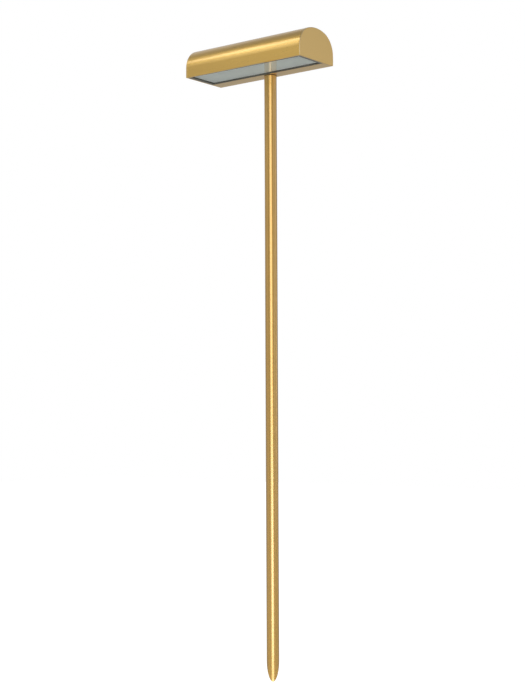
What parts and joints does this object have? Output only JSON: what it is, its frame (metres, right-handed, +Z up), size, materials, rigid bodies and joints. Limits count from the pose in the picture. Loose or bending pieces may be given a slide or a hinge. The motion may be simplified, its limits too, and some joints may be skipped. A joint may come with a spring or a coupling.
{
  "type": "garden spike light",
  "caption": "Garden light on a ground spike: slim brass tube stem, slant-cut at its foot, under a long arched brass head that turns on it and lights the ground through a recessed glass.",
  "frame": {"origin": "on the stem's axis at the ground line, 180 mm above the tip", "axes": "+Z up along the stem, +X along the head's length, -Y the side to which the head hangs out and throws its light"},
  "size_m": [0.138, 0.053, 0.6105],
  "materials": {
    "black_epoxy": "moulded epoxy, black",
    "black_insulation": "extruded, black",
    "black_rubber": "moulded, black",
    "brushed_brass": "satin, brushed along the head, clear lacquer",
    "cable_jacket": "extruded rubber, black",
    "capacitor_can": "drawn can, bright",
    "clear_glass": "toughened, polished",
    "dark_ferrite": "sintered ferrite, dark grey",
    "drawn_brass": "satin, drawn and polished along its length, clear lacquer",
    "green_board": "green solder mask",
    "grey_gap_pad": "soft, grey",
    "grey_silicone": "cured sealant, dark grey",
    "ground_brass": "satin, fine ground flat",
    "heat_shrink": "shrunk polyolefin, black",
    "led_phosphor": "phosphor gel in a white case",
    "natural_nylon": "moulded, natural",
    "opal_acrylic": "opal, satin",
    "plain_aluminium": "rolled, plain",
    "potting_resin": "cast resin, dark",
    "red_insulation": "extruded, red",
    "stainless_screw": "stainless, bright",
    "terminal_plastic": "moulded, green",
    "turned_brass": "turned, bare",
    "white_board": "white solder mask on an aluminium core",
    "white_polycarbonate": "moulded, white"
  },
  "bodies": {
    "stem": {"stem_tube": "drawn_brass", "stem_spigot": "turned_brass", "seal_washer": "black_rubber", "stem_cable": "cable_jacket", "cable_splice": "heat_shrink", "inlet_bush": "black_rubber", "spike_plug": "potting_resin"},
    "head": {"head_shell": "brushed_brass", "end_plate_right": "ground_brass", "end_plate_left": "ground_brass", "swivel_socket": "turned_brass", "lock_screw": "stainless_screw", "lens_glass": "clear_glass", "lens_seal": "grey_silicone", "diffuser": "opal_acrylic", "reflector_tray": "white_polycarbonate", "led_board": "white_board", "led_emitters": "led_phosphor", "board_screws": "stainless_screw", "thermal_pad": "grey_gap_pad", "carrier_plate": "plain_aluminium", "carrier_screws": "stainless_screw", "standoffs": "turned_brass", "plate_grommet": "black_rubber", "driver_board": "green_board", "driver_spacers": "natural_nylon", "driver_screws": "stainless_screw", "driver_inductor": "dark_ferrite", "driver_capacitors": "capacitor_can", "driver_chips": "black_epoxy", "terminal_block": "terminal_plastic", "terminal_screws": "stainless_screw", "supply_core_red": "red_insulation", "supply_core_black": "black_insulation", "led_lead_red": "red_insulation", "led_lead_black": "black_insulation"}
  },
  "joints": [
    {"name": "head_swivel", "type": "hinge", "parent": "stem", "child": "head", "pos_m": [0, 0, 0.4], "axis": [0, 0, 1], "range_deg": [-180, 180]}
  ]
}
